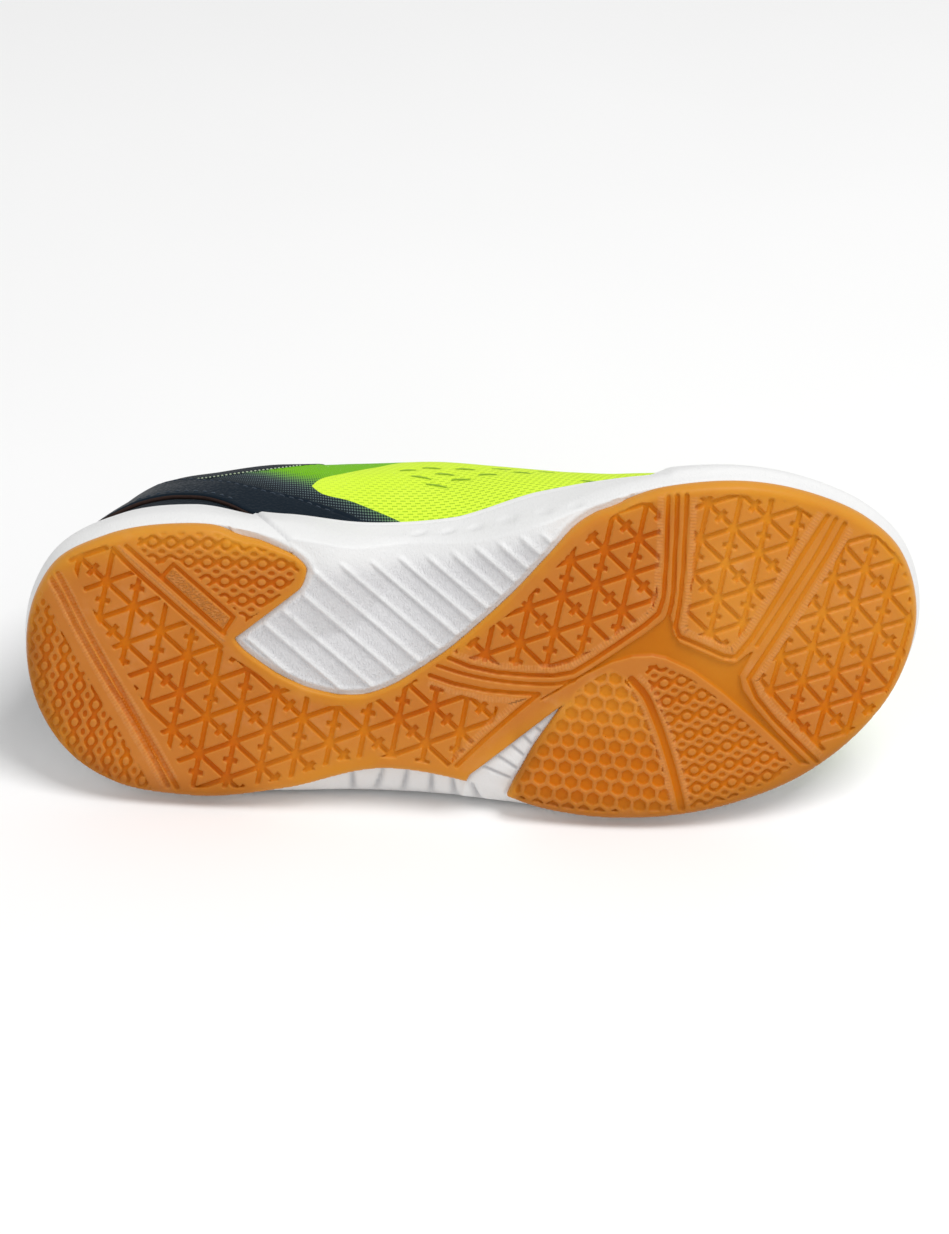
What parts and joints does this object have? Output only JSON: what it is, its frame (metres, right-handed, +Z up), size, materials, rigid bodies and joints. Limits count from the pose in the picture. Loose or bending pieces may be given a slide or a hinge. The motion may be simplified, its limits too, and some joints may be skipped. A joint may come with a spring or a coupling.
{
  "type": "athletic shoe",
  "caption": "Low indoor court shoe lying on its outer side, with a gum rubber tread, white foam midsole and a lime and navy mesh upper, for wear on a left foot.",
  "frame": {"origin": "bottom centre of the box round the shoe as it lies on its outer side", "axes": "+X from heel to toe, +Z up from the floor with the inner side on top, -Y the way the tread faces"},
  "size_m": [0.219, 0.0896, 0.0878],
  "materials": {
    "gum_rubber": "satin",
    "white_foam": "matte",
    "lime_mesh": "matte",
    "navy_synthetic": "satin",
    "sock_liner": "matte",
    "tongue_mesh": "matte",
    "lace_weave": "matte"
  },
  "bodies": {
    "root": {"outsole": "gum_rubber", "midsole": "white_foam", "upper": "lime_mesh", "heel_counter": "navy_synthetic", "insole": "sock_liner", "tongue": "tongue_mesh", "lace": "lace_weave"}
  },
  "joints": []
}
